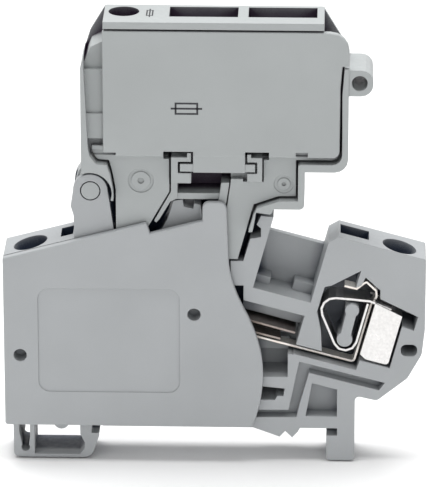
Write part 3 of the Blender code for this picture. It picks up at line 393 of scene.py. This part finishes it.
# The leaf's copper colour and its cut edges are painted darker, as painted shade for the chamber it
# sits in.
LEAF = metal("copper_alloy_strip", (0.36, 0.32, 0.3), 0.42, (1, 0.15, 1), cut_edge=(0.24, 0.2, 0.18))
SPRING = metal("spring_sheet", (0.68, 0.67, 0.66), 0.3, (1, 0.1, 1))
NICKEL = metal("nickel_cap", (0.8, 0.77, 0.72), 0.22, (0.2, 1, 1))
GLASS = clear_glass("fuse_glass_clear")
INK = ink("sign_ink", (0.018, 0.018, 0.022))

SLOT_LOOKS = {
    "housing_grey": HOUSING,
    "holder_grey": HOLDER,
    "tinned_copper": TINNED,
    "spring_steel": SPRING,
    "nickel_plate": NICKEL,
    "fuse_glass": GLASS,
}
OWN_LOOKS = {
    "current_bar_left": BAR,
    "current_bar_right": BAR,
    "contact_leaf_left": LEAF,
    "contact_leaf_right": LEAF,
}


def dress_nodes():
    """Gives each CAD node the material of its slot, or its own."""
    slot_of = {entry["node"]: entry["material_slot"] for entry in frame["record"]["subparts"]}
    for node, obj in NODES.items():
        obj.data.materials.clear()
        obj.data.materials.append(OWN_LOOKS.get(node, SLOT_LOOKS[slot_of[node]]))


# Printed signs


def fuse_sign(centre, length, width, lead, stroke):
    """The plain sign for a fuse, a frame with a line through it, as bars (left, right, bottom, top)."""
    across, middle = centre
    left, right = across - length / 2, across + length / 2
    bottom, top = middle - width / 2, middle + width / 2
    return [
        (left, right, bottom, bottom + stroke),
        (left, right, top - stroke, top),
        (left, left + stroke, bottom + stroke, top - stroke),
        (right - stroke, right, bottom + stroke, top - stroke),
        (left - lead, right + lead, middle - stroke / 2, middle + stroke / 2),
    ]


def on_front(across, up):
    """A place or a size in the front plane, as (x, z), with the ink's height along y."""
    return across[0], up, across[1]


def on_top(across, up):
    """A place or a size in the top plane, as (x, y), with the ink's height along z."""
    return across[0], across[1], up


def printed(name, bars, oriented, plane):
    """Thin bars of ink on the holder's front or top plane."""
    shape = bmesh.new()
    for left, right, bottom, top in bars:
        centre = oriented(((left + right) / 2, (bottom + top) / 2), plane / MM)
        size = oriented((right - left, top - bottom), INK_HEIGHT)
        scale = Matrix.Diagonal(Vector(size) * MM).to_4x4()
        matrix = Matrix.Translation(Vector(centre) * MM) @ scale
        bmesh.ops.create_cube(shape, size=1.0, matrix=matrix)
    mesh = bpy.data.meshes.new(name)
    shape.to_mesh(mesh)
    shape.free()
    mesh.materials.append(INK)
    piece = bpy.data.objects.new(name, mesh)
    bpy.context.scene.collection.objects.link(piece)
    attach(piece, "holder")


def print_signs():
    """The sign on the front lies along x, and the one on the top lies along y."""
    printed("front_fuse_sign", fuse_sign(**FRONT_SIGN), on_front, FRONT_PLANE)
    upright = [(bottom, top, left, right) for left, right, bottom, top in fuse_sign(**TOP_SIGN)]
    printed("top_fuse_sign", upright, on_top, TOP_PLANE)


# Stage, lights and camera


def lay_floor():
    mesh = bpy.data.meshes.new("floor")
    shape = bmesh.new()
    far = FLOOR_HALF
    places = ((-far, -far), (far, -far), (far, far), (-far, far))
    corners = [shape.verts.new((x, y, FLOOR_LEVEL)) for x, y in places]
    shape.faces.new(corners)
    shape.to_mesh(mesh)
    shape.free()
    floor = bpy.data.objects.new("floor", mesh)
    bpy.context.scene.collection.objects.link(floor)
    look, _, shader = nodes_of("pale_floor")
    shader.inputs["Base Color"].default_value = (*FLOOR_COLOUR, 1)
    shader.inputs["Roughness"].default_value = FLOOR_ROUGHNESS
    mesh.materials.append(look)


def add_lamp(name, place, size, power):
    """A soft rectangular lamp that points at the object."""
    data = bpy.data.lights.new(name, "AREA")
    data.shape = "RECTANGLE"
    data.size, data.size_y = size
    data.energy = power
    lamp = bpy.data.objects.new(name, data)
    lamp.location = place
    lamp.rotation_euler = (AIM - Vector(place)).to_track_quat("-Z", "Y").to_euler()
    bpy.context.scene.collection.objects.link(lamp)


def seen_directly(tree, otherwise):
    """1 for what the camera sees, also by way of metal and glass, and less as light on the object."""
    ray = add(tree, "ShaderNodeLightPath")
    seen = ray.outputs["Is Camera Ray"]
    for kind in ("Is Glossy Ray", "Is Transmission Ray"):
        seen = calculated(tree, "MAXIMUM", seen, ray.outputs[kind])
    return ranged(tree, seen, (0.0, 1.0), (otherwise, 1.0))


def light_studio():
    world = bpy.data.worlds.new("studio")
    bpy.context.scene.world = world
    world.use_nodes = True
    tree = world.node_tree
    sky = tree.nodes["Background"]
    sky.inputs["Color"].default_value = (1, 1, 1, 1)
    tree.links.new(seen_directly(tree, SKY_LIGHT), sky.inputs["Strength"])
    for lamp in LAMPS:
        add_lamp(*lamp)


def place_camera():
    level = cos(CAMERA_RISE)
    back = Vector((sin(CAMERA_TURN) * level, -cos(CAMERA_TURN) * level, sin(CAMERA_RISE)))
    data = bpy.data.cameras.new("camera")
    data.sensor_width = SENSOR_WIDTH
    data.sensor_fit = "AUTO"
    data.lens = FOCAL_PIXELS * SENSOR_WIDTH / FRAME_HEIGHT
    data.clip_start, data.clip_end = CAMERA_CLIP
    eye = bpy.data.objects.new("camera", data)
    eye.location = CAMERA_TARGET + back * CAMERA_DISTANCE
    eye.rotation_euler = back.to_track_quat("Z", "Y").to_euler()
    bpy.context.scene.collection.objects.link(eye)
    bpy.context.scene.camera = eye


dress_nodes()
print_signs()
lay_floor()
light_studio()
place_camera()
bpy.context.scene.view_settings.view_transform = "Standard"
